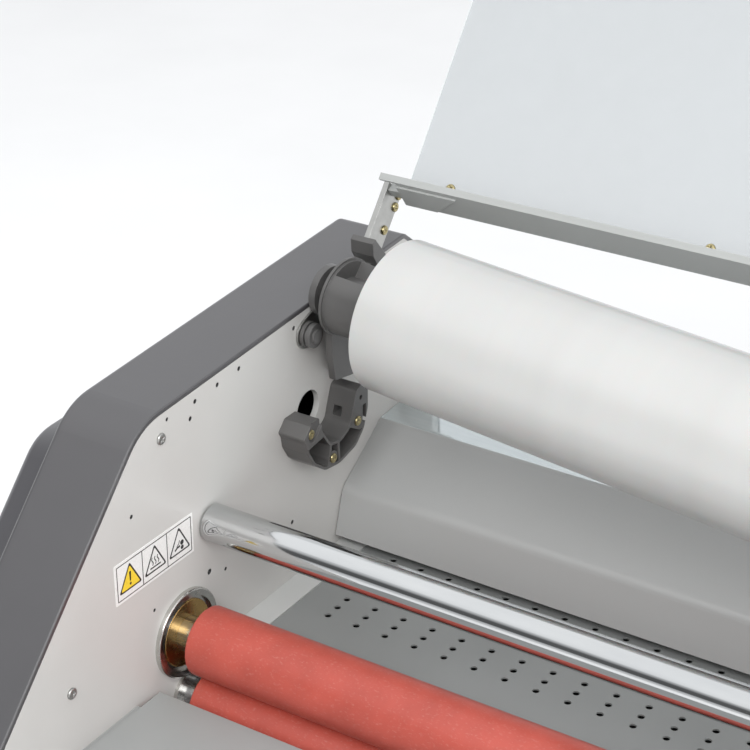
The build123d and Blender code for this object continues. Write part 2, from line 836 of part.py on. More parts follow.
with BuildPart() as shield_panel:
    with BuildSketch(shield_plane(-shield_half)):
        with Locations((-3.2, 0)):
            Rectangle(shield_length + 3.2, shield_t, align=(Align.MIN, Align.CENTER))
    extrude(amount=2 * shield_half)
save(shield_panel, "shield_panel")

arm_inner_x, bracket_w = half_gap - 5.0, 29.0
# lower face of the channel: its foot is at the lip, and its second axis runs up the face
channel_face = Plane((0, shield_y - 3.7 * shield_run - 12 * shield_rise,
                      shield_z - 3.7 * shield_rise + 12 * shield_run),
                     x_dir=(1, 0, 0), z_dir=(0, -0.7933, -0.6088))
with BuildPart() as shield_channel:
    with BuildSketch(shield_plane(-channel_lip_half)):
        polygon([(-3.7, 12), (2.0, 12), (2.0, 10), (-1.4, 10), (-1.4, 8), (-3.7, 8)])
    extrude(amount=2 * channel_lip_half)
    with BuildSketch(shield_plane(-channel_half)):
        polygon([(-3.7, 12), (-1.4, 12), (-4.4, -1.7), (2.0, -1.7), (2.0, -3.6), (-6.9, -3.6),
                 (-10.8, -19.6), (-12.4, -19.1)])
    extrude(amount=2 * channel_half)
    for x in (-arm_inner_x, arm_inner_x - bracket_w):
        with BuildSketch(shield_plane(x)):
            polygon([(-7.3, -4.6), (-9.6, -13.5), (-3.5, -15), (-0.5, -6)])
        extrude(amount=bracket_w)
    for side in (-1, 1):
        with BuildSketch(channel_face):
            polygon([(side * 342, -5), (side * 342, -30.5), (side * 312, -30.5), (side * 287, -5)])
        extrude(amount=1.6)
save(shield_channel, "shield_channel")


def shield_arm(right):
    """Pressed arm: a thin leg from the pivot past the film roll, then a deeper bar."""
    with BuildPart() as arm:
        leg_end, bar_start, bar_end = (187.0, 464.0), (193.5, 472.5), (229.5, 517.0)
        with BuildSketch(across(-half_gap + 0.4)):
            with Locations((pivot_y, pivot_z)):
                Circle(12.5)
            with BuildLine():
                Line((pivot_y, pivot_z), leg_end)
            trace(line_width=25)
            with Locations(leg_end):
                Circle(12.5)
            with BuildLine():
                Line(leg_end, bar_end)
            trace(line_width=25)
        extrude(amount=1.6)
        with BuildSketch(across(-half_gap + 0.4)):
            with BuildLine():
                Line(bar_start, bar_end)
            trace(line_width=25)
        extrude(amount=4.6)
        with BuildSketch(across(-half_gap)):
            with Locations((pivot_y, pivot_z)):
                Circle(5 + fit)
        extrude(amount=6, mode=Mode.SUBTRACT)
        if right:
            mirror(about=Plane.YZ, mode=Mode.REPLACE)
    return arm


save(shield_arm(False), "shield_arm_left")
save(shield_arm(True), "shield_arm_right")

with BuildPart() as shield_pivots:
    with BuildSketch(across(-half_gap)):
        with Locations((pivot_y, pivot_z)):
            Circle(5)
    extrude(amount=2.1)
    with BuildSketch(across(-half_gap + 2.3)):
        with Locations((pivot_y, pivot_z)):
            Circle(10.5)
    extrude(amount=3)
    with BuildSketch(across(-half_gap + 2)):
        with Locations((pivot_y, pivot_z)):
            Circle(8)
    extrude(amount=6)
    with BuildSketch(across(-half_gap + 7)):
        with Locations((pivot_y, pivot_z)):
            Circle(10)
    extrude(amount=4)
    with BuildSketch(across(-half_gap + 11)):
        with Locations((pivot_y, pivot_z)):
            Circle(6)
    extrude(amount=1.8)
    with BuildSketch(across(half_gap)):
        with Locations((pivot_y, pivot_z)):
            Circle(5)
    extrude(amount=-2.3)
save(shield_pivots, "shield_pivots")

with BuildPart() as shield_screws:
    head_x = -half_gap + 5.0
    with BuildSketch(across(head_x)):
        with Locations((211.6, 485.6), (227.9, 500.3), (233.6, 508.6)):
            Circle(4)
    extrude(amount=2)
    mirror(about=Plane.YZ)
    head_plane = Plane((0, shield_y, shield_z), x_dir=(1, 0, 0),
                       z_dir=(0, -shield_rise, shield_run)).offset(shield_t / 2)
    with BuildSketch(head_plane):
        with Locations((-297.5, 3.6), (-73.5, 3.6), (73.5, 3.6), (297.5, 3.6)):
            Circle(4)
    extrude(amount=2.4)
save(shield_screws, "shield_screws")

# ------------------------------------------------------------------ label and controls
with BuildPart() as warning_label:
    with BuildSketch(across(-half_gap)):
        with Locations((-95, 330)):
            RectangleRounded(92, 34, 0.8)
    extrude(amount=0.3)
save(warning_label, "warning_label")

slope_low, slope_high = Vector(*side_points[2]), Vector(*side_points[3])
slope = atan2(slope_high.Y - slope_low.Y, slope_high.X - slope_low.X)
slope_middle = ((slope_low.X + slope_high.X) / 2 - band_lip * sin(slope),
                (slope_low.Y + slope_high.Y) / 2 + band_lip * cos(slope))
panel_t, panel_w, panel_l = 8.0, 56.0, 150.0
control_plane = Plane((half_gap + band_w / 2 - 1, *slope_middle), x_dir=(1, 0, 0),
                      z_dir=(0, -sin(slope), cos(slope)))
button_r, button_h, pocket = 8.0, 6.0, 6.0
run_spot, stop_spot, knob_spot, estop_spot = (-12, -14), (12, -14), (0, 14), (0, -52)

with BuildPart() as control_panel:
    with BuildSketch(control_plane):
        RectangleRounded(panel_w, panel_l, 6)
    extrude(amount=panel_t)
    fillet(control_panel.faces().sort_by(Axis.Z)[-1].edges(), 1.5)
    with BuildSketch(control_plane.offset(panel_t)):
        with Locations(run_spot, stop_spot):
            Circle(button_r + 0.4)
    extrude(amount=-pocket, mode=Mode.SUBTRACT)
    with BuildSketch(control_plane.offset(panel_t)):
        with Locations(estop_spot):
            Circle(9.5)
    extrude(amount=-pocket, mode=Mode.SUBTRACT)
    with BuildSketch(control_plane.offset(panel_t)):
        with Locations((0, 50)):
            RectangleRounded(42, 26, 2)
    extrude(amount=-1.5, mode=Mode.SUBTRACT)
    with BuildSketch(control_plane.offset(panel_t)):
        with Locations(knob_spot):
            Circle(4)
    extrude(amount=6)
save(control_panel, "control_panel")


def push_button(spot):
    """Round push button that stands in its pocket with room to travel."""
    with BuildPart() as button:
        with BuildSketch(control_plane.offset(panel_t - pocket + 2.5)):
            with Locations(spot):
                Circle(button_r)
        extrude(amount=button_h)
        fillet(button.edges().sort_by(Axis.Z)[-1], 0.8)
    return button


save(push_button(run_spot), "run_button")
save(push_button(stop_spot), "stop_button")

with BuildPart() as speed_knob:
    with BuildSketch(control_plane.offset(panel_t + 0.5)):
        with Locations(knob_spot):
            Circle(11)
    extrude(amount=11, taper=5)
    with BuildSketch(control_plane.offset(panel_t + 0.4)):
        with Locations(knob_spot):
            Circle(4 + fit)
    extrude(amount=6, mode=Mode.SUBTRACT)
save(speed_knob, "speed_knob")

with BuildPart() as emergency_stop:
    with BuildSketch(control_plane.offset(panel_t - pocket + 4.5)):
        with Locations(estop_spot):
            Circle(9)
    extrude(amount=9)
    with BuildSketch(control_plane.offset(panel_t + 6)):
        with Locations(estop_spot):
            Circle(15)
    extrude(amount=9, taper=12)
    fillet(emergency_stop.edges().sort_by(Axis.Z)[-1], 2.5)
save(emergency_stop, "emergency_stop")

with BuildPart() as power_inlet:
    with BuildSketch(Plane.XZ.offset(-258)):
        with Locations((250, 95)):
            RectangleRounded(34, 54, 3)
    extrude(amount=2)
    with BuildSketch(Plane.XZ.offset(-256)):
        with Locations((250, 95)):
            Rectangle(27, 47)
    extrude(amount=26)
    with BuildSketch(Plane.XZ.offset(-258)):
        with Locations((250, 86)):
            RectangleRounded(22, 17, 3)
    extrude(amount=22, mode=Mode.SUBTRACT)
    with BuildSketch(Plane.XZ.offset(-236)):
        with Locations((243.5, 86), (256.5, 86), (250, 89)):
            Rectangle(1.6, 4)
    extrude(amount=-17)
save(power_inlet, "power_inlet")

rocker_tilt = radians(8)
rocker_plane = Plane((190 - 9, 254, 95), x_dir=(0, cos(rocker_tilt), sin(rocker_tilt)),
                     z_dir=(1, 0, 0))
with BuildPart() as power_rocker:
    with BuildSketch(rocker_plane):
        with BuildLine():
            ThreePointArc((8, -11.5), (5.5, 0), (8, 11.5))
            Polyline((8, 11.5), (1, 11), (-4, 3), (-4, -3), (1, -11), (8, -11.5))
        make_face()
    extrude(amount=18)
save(power_rocker, "power_rocker")
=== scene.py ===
"""Looks of the roll laminator: materials, printed marks, screw heads, light and camera."""

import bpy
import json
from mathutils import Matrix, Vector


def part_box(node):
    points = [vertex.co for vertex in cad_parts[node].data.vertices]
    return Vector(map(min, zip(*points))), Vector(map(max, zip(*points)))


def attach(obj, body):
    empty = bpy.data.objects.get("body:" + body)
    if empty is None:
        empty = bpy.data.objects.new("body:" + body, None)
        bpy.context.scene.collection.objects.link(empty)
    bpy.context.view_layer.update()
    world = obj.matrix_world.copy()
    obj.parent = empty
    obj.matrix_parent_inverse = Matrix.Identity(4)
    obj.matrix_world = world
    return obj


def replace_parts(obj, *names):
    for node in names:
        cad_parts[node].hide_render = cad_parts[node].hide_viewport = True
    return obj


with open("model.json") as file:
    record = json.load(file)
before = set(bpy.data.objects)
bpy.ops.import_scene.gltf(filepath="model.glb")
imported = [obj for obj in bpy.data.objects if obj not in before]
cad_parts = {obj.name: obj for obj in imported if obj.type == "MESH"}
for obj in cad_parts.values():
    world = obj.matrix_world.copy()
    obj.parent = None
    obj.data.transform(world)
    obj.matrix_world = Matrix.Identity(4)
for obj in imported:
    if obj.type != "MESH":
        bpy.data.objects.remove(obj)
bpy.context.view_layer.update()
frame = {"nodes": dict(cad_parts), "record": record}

import json
from math import atan2, cos, pi, radians, sin, sqrt

import bmesh
import bpy
from mathutils import Matrix, Vector

nodes_by_name = frame["nodes"]
scene = bpy.context.scene


# ------------------------------------------------------------------ materials
class Surface:
    """A Principled material whose colour, roughness and relief come from procedural nodes."""

    def __init__(self, name, **sockets):
        self.material = bpy.data.materials.new(name)
        self.material.use_nodes = True
        self.nodes = self.material.node_tree.nodes
        self.links = self.material.node_tree.links
        self.bsdf = self.nodes["Principled BSDF"]
        for socket, value in sockets.items():
            self.bsdf.inputs[socket.replace("_", " ")].default_value = value
        self.object_coords = self.node("ShaderNodeTexCoord").outputs["Object"]

    def node(self, kind, inputs=None, **settings):
        made = self.nodes.new(kind)
        for key, value in settings.items():
            setattr(made, key, value)
        for key, value in (inputs or {}).items():
            if isinstance(value, bpy.types.NodeSocket):
                self.links.new(value, made.inputs[key])
            else:
                made.inputs[key].default_value = value
        return made

    def stretched(self, scale):
        """Object coordinates scaled along each axis."""
        return self.node("ShaderNodeMapping", {"Vector": self.object_coords, "Scale": scale}).outputs[0]

    def noise(self, scale, detail=4.0, stretch=None, rough=0.55):
        """Noise value from 0 to 1; `scale` is in cells per metre."""
        place = self.stretched(stretch) if stretch else self.object_coords
        made = self.node("ShaderNodeTexNoise", {"Vector": place, "Scale": scale, "Detail": detail,
                                                "Roughness": rough})
        return made.outputs["Fac"]

    def ramp(self, value, stops):
        """Colour or grey value that follows `value` through the stops."""
        made = self.node("ShaderNodeValToRGB", {"Fac": value})
        band = made.color_ramp
        while len(band.elements) < len(stops):
            band.elements.new(0.5)
        for element, (place, colour) in zip(band.elements, stops):
            element.position = place
            element.color = (*colour, 1.0)
        return made.outputs["Color"]

    def spread(self, value, low, high, start=0.3, end=0.7):
        """`value` from start to end mapped onto low to high."""
        made = self.node("ShaderNodeMapRange", {"Value": value, "From Min": start, "From Max": end,
                                                "To Min": low, "To Max": high})
        return made.outputs["Result"]

    def mix(self, factor, a, b):
        made = self.node("ShaderNodeMix", {"Factor": factor}, data_type="RGBA")
        for socket, value in ((made.inputs[6], a), (made.inputs[7], b)):
            if isinstance(value, bpy.types.NodeSocket):
                self.links.new(value, socket)
            else:
                socket.default_value = (*value, 1.0)
        return made.outputs[2]

    def set(self, socket, value):
        self.links.new(value, self.bsdf.inputs[socket])

    def relief(self, layers, edge=0.0):
        """Stacked bumps (value, depth in metres) over edges rounded by `edge` metres."""
        normal = None
        if edge:
            normal = self.node("ShaderNodeBevel", {"Radius": edge}, samples=4).outputs["Normal"]
        for value, depth in layers:
            inputs = {"Height": value, "Distance": depth, "Strength": 1.0}
            if normal:
                inputs["Normal"] = normal
            normal = self.node("ShaderNodeBump", inputs).outputs["Normal"]
        self.set("Normal", normal)

    def worn_edge(self, radius):
        """Mask that is 1 on sharp outer edges and 0 on flats."""
        rounded = self.node("ShaderNodeBevel", {"Radius": radius}, samples=4).outputs["Normal"]
        flat = self.node("ShaderNodeNewGeometry").outputs["Normal"]
        facing = self.node("ShaderNodeVectorMath", operation="DOT_PRODUCT")
        self.links.new(rounded, facing.inputs[0])
        self.links.new(flat, facing.inputs[1])
        return self.spread(facing.outputs["Value"], 1.0, 0.0, 0.80, 0.985)


def shade(colour, factor):
    return tuple(min(1.0, c * factor) for c in colour)


def srgb(r, g, b):
    """Linear colour of an 8-bit sRGB value."""
    return tuple((c / 255 / 12.92) if c < 11 else ((c / 255 + 0.055) / 1.055) ** 2.4 for c in (r, g, b))


def coated(name, colour, rough, cloud=14.0, grain=1100.0, depth=0.00002, spread=0.06, edge=0.0006,
           worn=0.35, **sockets):
    """Moulded or painted surface: faint clouding, fine grain, rubbed edges."""
    s = Surface(name, **sockets)
    clouds = s.noise(cloud, 5.0)
    colour_now = s.ramp(clouds, [(0.3, shade(colour, 1 - spread)), (0.7, shade(colour, 1 + spread))])
    if worn:
        mask = s.node("ShaderNodeMath", {0: s.worn_edge(edge * 1.5), 1: worn}, operation="MULTIPLY")
        colour_now = s.mix(mask.outputs[0], colour_now, shade(colour, 1.9))
    s.set("Base Color", colour_now)
    s.set("Roughness", s.spread(s.noise(cloud * 4, 6.0), rough - 0.06, rough + 0.08, 0.0, 1.0))
    s.relief([(s.noise(grain, 2.0), depth), (s.noise(60.0, 2.0), depth * 2)], edge)
    return s.material


def metal(name, colour, rough, along=(1, 1, 1), lines=500.0, depth=0.000006, spread=0.08, edge=0.0004,
          grime=0.12, **sockets):
    """Bare metal: brushed lines stretched along one axis, smudged gloss."""
    s = Surface(name, Metallic=1.0, **sockets)
    strokes = s.noise(lines, 4.0, along)
    smudge = s.noise(22.0, 6.0)
    base = s.ramp(strokes, [(0.3, shade(colour, 1 - spread)), (0.7, shade(colour, 1 + spread / 2))])
    dirty = s.spread(smudge, 0.0, grime, 0.5, 0.75)
    s.set("Base Color", s.mix(dirty, base, shade(colour, 0.45)))
    s.set("Roughness", s.spread(s.noise(lines / 3, 5.0, along), rough * 0.75, rough * 1.3))
    s.relief([(strokes, depth)], edge)
    return s.material


def silicone(name, colour):
    s = Surface(name, Specular_IOR_Level=0.45, Subsurface_Weight=0.08, Subsurface_Scale=0.004)
    s.bsdf.inputs["Subsurface Radius"].default_value = (1.0, 0.35, 0.2)
    dust = s.noise(700.0, 8.0, (0.5, 1, 1))
    tone = s.ramp(s.noise(35.0, 4.0), [(0.3, shade(colour, 0.9)), (0.7, shade(colour, 1.1))])
    s.set("Base Color", s.mix(s.spread(dust, 0.0, 0.12, 0.56, 0.75), tone, (0.75, 0.62, 0.56)))
    s.set("Roughness", s.spread(s.noise(90.0, 4.0), 0.34, 0.52))
    s.relief([(s.noise(1500.0, 2.0), 0.000012)])
    return s.material


def chromed():
    s = Surface("chrome_bar", Metallic=1.0)
    smear = s.noise(9.0, 6.0, (0.6, 3, 3))
    s.set("Base Color", s.ramp(smear, [(0.3, (0.50, 0.51, 0.52)), (0.7, (0.62, 0.63, 0.63))]))
    s.set("Roughness", s.spread(smear, 0.03, 0.14, 0.35, 0.75))
    s.relief([(s.noise(14.0, 2.0, (0.4, 1, 1)), 0.00006)])
    return s.material


def wound_film():
    """Clear film wound on its core: glossy outer turn with faint hoops, fine rings on the ends."""
    s = Surface("wound_film", Specular_IOR_Level=0.6, Coat_Weight=0.4, Coat_Roughness=0.12,
                Subsurface_Weight=0.15, Subsurface_Scale=0.01)
    first, direction = roll_axis()
    relative = s.node("ShaderNodeVectorMath", operation="SUBTRACT")
    s.links.new(s.object_coords, relative.inputs[0])
    relative.inputs[1].default_value = first
    across = s.node("ShaderNodeVectorMath", operation="CROSS_PRODUCT")
    s.links.new(relative.outputs[0], across.inputs[0])
    across.inputs[1].default_value = direction
    radius = s.node("ShaderNodeVectorMath", operation="LENGTH")
    s.links.new(across.outputs[0], radius.inputs[0])
    distance = s.node("ShaderNodeVectorMath", operation="DOT_PRODUCT")
    s.links.new(relative.outputs[0], distance.inputs[0])
    distance.inputs[1].default_value = direction
    rings = s.node("ShaderNodeTexNoise", {"W": radius.outputs["Value"], "Scale": 2600.0, "Detail": 3.0},
                   noise_dimensions="1D").outputs["Fac"]
    hoops = s.node("ShaderNodeTexNoise", {"W": distance.outputs["Value"], "Scale": 16.0, "Detail": 3.0},
                   noise_dimensions="1D").outputs["Fac"]
    end_radius, outer_radius = 0.0592, 0.0600
    on_end = s.spread(radius.outputs["Value"], 1.0, 0.0, end_radius, outer_radius)
    tone = s.ramp(hoops, [(0.2, (0.50, 0.50, 0.488)), (0.8, (0.54, 0.54, 0.528))])
    ends = s.ramp(rings, [(0.35, (0.36, 0.38, 0.39)), (0.65, (0.66, 0.68, 0.69))])
    s.set("Base Color", s.mix(on_end, tone, ends))
    s.set("Roughness", s.spread(hoops, 0.31, 0.38, 0.2, 0.8))
    end_rings = s.node("ShaderNodeMath", {0: rings, 1: on_end}, operation="MULTIPLY").outputs[0]
    s.relief([(hoops, 0.0002), (end_rings, 0.00003)])
    return s.material


def cardboard():
    s = Surface("core_board", Roughness=0.9)
    fibres = s.noise(420.0, 6.0, (0.25, 1, 1))
    s.set("Base Color", s.ramp(fibres, [(0.3, (0.30, 0.24, 0.17)), (0.7, (0.44, 0.37, 0.28))]))
    s.relief([(fibres, 0.00008)], 0.0004)
    return s.material


def clear_sheet(name, colour, alpha_low, alpha_high):
    """Clear acrylic: see-through with a pale tint, brighter polished edges and faint haze."""
    s = Surface(name, Roughness=0.06, Specular_IOR_Level=0.5, IOR=1.49)
    haze = s.noise(7.0, 3.0)
    edge = s.worn_edge(0.0012)
    s.set("Base Color", s.mix(edge, s.ramp(haze, [(0.3, colour), (0.7, shade(colour, 1.04))]),
                              (0.86, 0.93, 0.93)))
    body = s.spread(haze, alpha_low, alpha_high, 0.0, 1.0)
    stronger = s.node("ShaderNodeMath", {0: body, 1: edge}, operation="MAXIMUM").outputs[0]
    s.set("Alpha", stronger)
    s.relief([(s.noise(3.0, 2.0), 0.0004)])
    return s.material


def hood_paint():
    """Grey paint on the folded hood; the flat strip behind its crest is mostly glossy metal, with a pale
    bluish colour painted on as the reflection of a pale background.
    """
    s = Surface("hood_paint", Specular_IOR_Level=0.8)
    grey = srgb(168, 169, 168)
    paint_tone = s.ramp(s.noise(4.0, 2.0), [(0.0, shade(grey, 0.97)), (1.0, shade(grey, 1.03))])
    strokes = s.noise(300.0, 4.0, (0.05, 1, 1))
    # pale bluish strip colour: painted reflection of a pale background, laid over the strip's real metal
    # gloss
    painted_reflection_tone = s.ramp(strokes, [(0.3, (0.76, 0.82, 0.84)), (0.7, (0.82, 0.88, 0.89))])
    behind = s.node("ShaderNodeSeparateXYZ", {"Vector": s.object_coords}).outputs["Y"]
    strip_start, strip_full = 0.2134, 0.2142
    strip = s.spread(behind, 0.0, 1.0, strip_start, strip_full)
    s.set("Base Color", s.mix(strip, paint_tone, painted_reflection_tone))
    s.set("Metallic", s.spread(behind, 0.0, 0.7, strip_start, strip_full))
    gloss = s.spread(s.noise(18.0, 3.0), 0.31, 0.37, 0.0, 1.0)
    smooth = s.node("ShaderNodeMix", {"Factor": strip, "A": gloss, "B": 0.06}, data_type="FLOAT")
    s.set("Roughness", smooth.outputs["Result"])
    s.relief([(s.noise(1500.0, 2.0), 0.000004)])
    return s.material


def tray_paint():
    """Grey coated sheet with paler strips along both ends of the tray."""
    s = Surface("tray_paint", Specular_IOR_Level=0.5)
    clouds = s.noise(9.0, 5.0)
    grey = srgb(140, 142, 141)
    body = s.ramp(clouds, [(0.3, shade(grey, 0.95)), (0.7, shade(grey, 1.05))])
    split = s.node("ShaderNodeSeparateXYZ", {"Vector": s.object_coords})
    reach = s.node("ShaderNodeMath", {0: split.outputs["X"]}, operation="ABSOLUTE").outputs[0]
    strip_start, strip_full = 0.3358, 0.3362
    strip = s.spread(reach, 0.0, 1.0, strip_start, strip_full)
    s.set("Base Color", s.mix(strip, body, srgb(196, 197, 195)))
    s.set("Roughness", s.spread(s.noise(36.0, 6.0), 0.30, 0.42))
    s.relief([(s.noise(1400.0, 2.0), 0.000012)], 0.0006)
    return s.material


def foam(name, colour):
    """Open dark foam: deep pores at two sizes."""
    s = Surface(name, Roughness=0.95, Specular_IOR_Level=0.1)
    pores = s.noise(520.0, 3.0)
    s.set("Base Color", s.ramp(pores, [(0.35, shade(colour, 0.3)), (0.65, shade(colour, 1.3))]))
    s.relief([(pores, 0.0006), (s.noise(1600.0, 2.0), 0.0001)])
    return s.material


def printed(name, colour, rough=0.35):
    """Ink or foil laid on a surface, with a trace of print mottle."""
    s = Surface(name, Specular_IOR_Level=0.45)
    mottle = s.noise(900.0, 3.0)
    s.set("Base Color", s.ramp(mottle, [(0.3, shade(colour, 0.93)), (0.7, shade(colour, 1.05))]))
    s.set("Roughness", s.spread(s.noise(160.0, 3.0), rough - 0.04, rough + 0.06))
    s.relief([(s.noise(1300.0, 2.0), 0.000004)])
    return s.material


def glowing(name, colour, strength):
    s = Surface(name, Roughness=0.3, Emission_Strength=strength)
    lit = s.ramp(s.noise(500.0, 2.0), [(0.3, shade(colour, 0.9)), (0.7, colour)])
    s.set("Base Color", lit)
    s.set("Emission Color", lit)
    return s.material


def roll_axis():
    """A point on the film roll's axis and the axis's direction."""
    spin = next(j for j in frame["record"]["behaviour"]["joints"] if j["name"] == "film_spin")
    return Vector(spin["pos_m"]), Vector(spin["axis"]).normalized()


paint = {
    "plate": coated("plate_paint", srgb(200, 199, 196), 0.36, 9.0, 1500.0, 0.000010, 0.03, worn=0.15),
    "cover": coated("cover_moulding", srgb(73, 72, 74), 0.37, 10.0, 1250.0, 0.00004, 0.05, 0.0012, 0.08,
                    Specular_IOR_Level=0.6, Coat_Weight=0.5, Coat_Roughness=0.31, Coat_IOR=1.5),
    "cover_panel": coated("panel_moulding", srgb(58, 57, 61), 0.38, 10.0, 1250.0, 0.00004, 0.05,
                          0.0012, 0.08, Specular_IOR_Level=0.6, Coat_Weight=0.5,
                          Coat_Roughness=0.32, Coat_IOR=1.5),
    "pan": coated("pan_paint", srgb(120, 122, 122), 0.5, 12.0, 900.0, 0.00002, 0.06, worn=0.3),
    "steel": metal("roller_steel", (0.42, 0.42, 0.42), 0.28, (0.15, 3, 3)),
    "chrome": chromed(),
    "housing": metal("plated_housing", (0.62, 0.61, 0.58), 0.22, (1, 1, 1), 260.0),
    "silicone": silicone("red_silicone", srgb(176, 78, 66)),
    "rubber": coated("foot_rubber", (0.02, 0.02, 0.02), 0.75, 30.0, 1700.0, 0.00004, 0.2, worn=0.5),
    "pull_rubber": coated("pull_rubber", (0.035, 0.035, 0.037), 0.6, 40.0, 1600.0, 0.00003, 0.2, worn=0.5),
    "brass": metal("bushing_brass", (0.66, 0.43, 0.16), 0.24, (1, 1, 1), 380.0, grime=0.3),
    "hood": hood_paint(),
    "tray": tray_paint(),
    "moulding": coated("cradle_moulding", srgb(88, 87, 86), 0.33, 24.0, 900.0, 0.00003, 0.07, 0.0007, 0.4),
    "film": wound_film(),
    "card": cardboard(),
    "acrylic": clear_sheet("clear_acrylic", srgb(184, 188, 190), 0.46, 0.56),
    "channel": coated("channel_paint", srgb(166, 168, 166), 0.30, 8.0, 1300.0, 0.000012, 0.04, worn=0.4),
    "zinc": metal("zinc_plate", (0.45, 0.45, 0.435), 0.33, (1, 1, 1), 150.0, grime=0.25),
    "yellow_zinc": metal("yellow_zinc", (0.43, 0.37, 0.20), 0.3, (1, 1, 1), 420.0, grime=0.4),
    "black_plastic": coated("black_plastic", (0.022, 0.022, 0.024), 0.42, 30.0, 1200.0, 0.00003, 0.15,
                            worn=0.5),
    "belt": coated("belt_rubber", (0.018, 0.018, 0.018), 0.7, 40.0, 800.0, 0.00008, 0.25, worn=0.5),
    "gear": metal("gear_steel", (0.46, 0.46, 0.45), 0.34, (1, 1, 1), 320.0, grime=0.5),
    "motor": coated("motor_enamel", (0.03, 0.032, 0.035), 0.4, 20.0, 1000.0, 0.00002, 0.15, worn=0.6),
    "label": printed("label_white", srgb(236, 236, 234), 0.3),
    "panel": coated("control_moulding", (0.030, 0.031, 0.034), 0.34, 20.0, 1500.0, 0.00002, 0.1, worn=0.4),
    "green_button": coated("green_cap", (0.02, 0.30, 0.09), 0.25, 60.0, 900.0, 0.00001, 0.08, worn=0.3),
    "red_button": coated("red_cap", (0.50, 0.02, 0.015), 0.25, 60.0, 900.0, 0.00001, 0.08, worn=0.3),
}
for part in frame["record"]["subparts"]:
    node = nodes_by_name[part["node"]]
    node.data.materials.clear()
    node.data.materials.append(paint[part["material_slot"]])
guard_sheet = clear_sheet("guard_acrylic", srgb(206, 212, 212), 0.14, 0.20)
nodes_by_name["rear_guard"].data.materials[0] = guard_sheet
table_paint = coated("table_paint", srgb(150, 152, 151), 0.36, 9.0, 1400.0, 0.000012, 0.04, worn=0.3)
nodes_by_name["feed_table"].data.materials[0] = table_paint

ink_black = printed("ink_black", (0.02, 0.02, 0.02))
ink_yellow = printed("ink_yellow", srgb(244, 212, 64))
ink_white = printed("ink_white", srgb(236, 236, 234), 0.3)
ink_pale = printed("ink_pale", (0.62, 0.64, 0.66), 0.4)
display_glass = coated("display_glass", (0.01, 0.014, 0.016), 0.08, 20.0, 400.0, 0.000002, 0.1, worn=0.0)
display_lit = glowing("display_lit", (0.25, 0.75, 0.95), 0.8)
filter_foam = foam("filter_foam", (0.012, 0.012, 0.012))
# near-black metal for the sleeves in the plate holes: painted shade of the holes
hole_shade_black = metal("hole_shade_black", (0.11, 0.11, 0.11), 0.45, (1, 1, 1), 500.0, grime=0.3)


# ------------------------------------------------------------------ mesh helpers
def piece(name, mesh, body, materials, smooth=False):
    """Object from a bmesh, riding on a CAD body."""
    data = bpy.data.meshes.new(name)
    bmesh.ops.recalc_face_normals(mesh, faces=mesh.faces)
    mesh.to_mesh(data)
    mesh.free()
    made = bpy.data.objects.new(name, data)
    scene.collection.objects.link(made)
    for material in materials:
        data.materials.append(material)
    if smooth:
        for face in data.polygons:
            face.use_smooth = True
    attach(made, body)
    return made


def slab(mesh, points, place, thickness, material=0, low=0.0):
    """Flat prism: 2-D points on the plane of `place`, from height `low` upwards."""
    bottom = [mesh.verts.new(place @ Vector((x, y, low))) for x, y in points]
    top = [mesh.verts.new(place @ Vector((x, y, low + thickness))) for x, y in points]
    faces = [mesh.faces.new(top), mesh.faces.new(bottom[::-1])]
    count = len(points)
    for i in range(count):
        j = (i + 1) % count
        faces.append(mesh.faces.new((bottom[i], bottom[j], top[j], top[i])))
    for face in faces:
        face.material_index = material


def stroke(mesh, line, width, place, thickness, material=0, low=0.0):
    """Line of even width drawn as one slab along the points."""
    left, right = [], []
    for i, point in enumerate(line):
        before = Vector(line[max(i - 1, 0)])
        after = Vector(line[min(i + 1, len(line) - 1)])
        run = (after - before).normalized()
        side = Vector((-run.y, run.x)) * width / 2
        left.append(tuple(Vector(point) + side))
        right.append(tuple(Vector(point) - side))
    slab(mesh, left + right[::-1], place, thickness, material, low)


def disc_points(x, y, r, count=28):
    return [(x + r * cos(2 * pi * i / count), y + r * sin(2 * pi * i / count)) for i in range(count)]


def rounded(points, r, steps=5):
    """Polygon with its corners rounded to radius r."""
    made = []
    count = len(points)
    for i in range(count):
        here = Vector(points[i])
        before = (Vector(points[i - 1]) - here).normalized()
        after = (Vector(points[(i + 1) % count]) - here).normalized()
        half = before.angle(after) / 2
        reach = r / max(0.05, abs(sin(half) / cos(half)))
        a, b = here + before * reach, here + after * reach
        for k in range(steps + 1):
            t = k / steps
            made.append(tuple(a * (1 - t) ** 2 + here * 2 * t * (1 - t) + b * t * t))
    return made


def placing(origin, x_axis, y_axis):
    """Matrix of a plane with its origin and first two axes."""
    x_axis, y_axis = Vector(x_axis).normalized(), Vector(y_axis).normalized()
    z_axis = x_axis.cross(y_axis)
    return Matrix((
        (x_axis.x, y_axis.x, z_axis.x, origin[0]),
        (x_axis.y, y_axis.y, z_axis.y, origin[1]),
        (x_axis.z, y_axis.z, z_axis.z, origin[2]),
        (0, 0, 0, 1)))


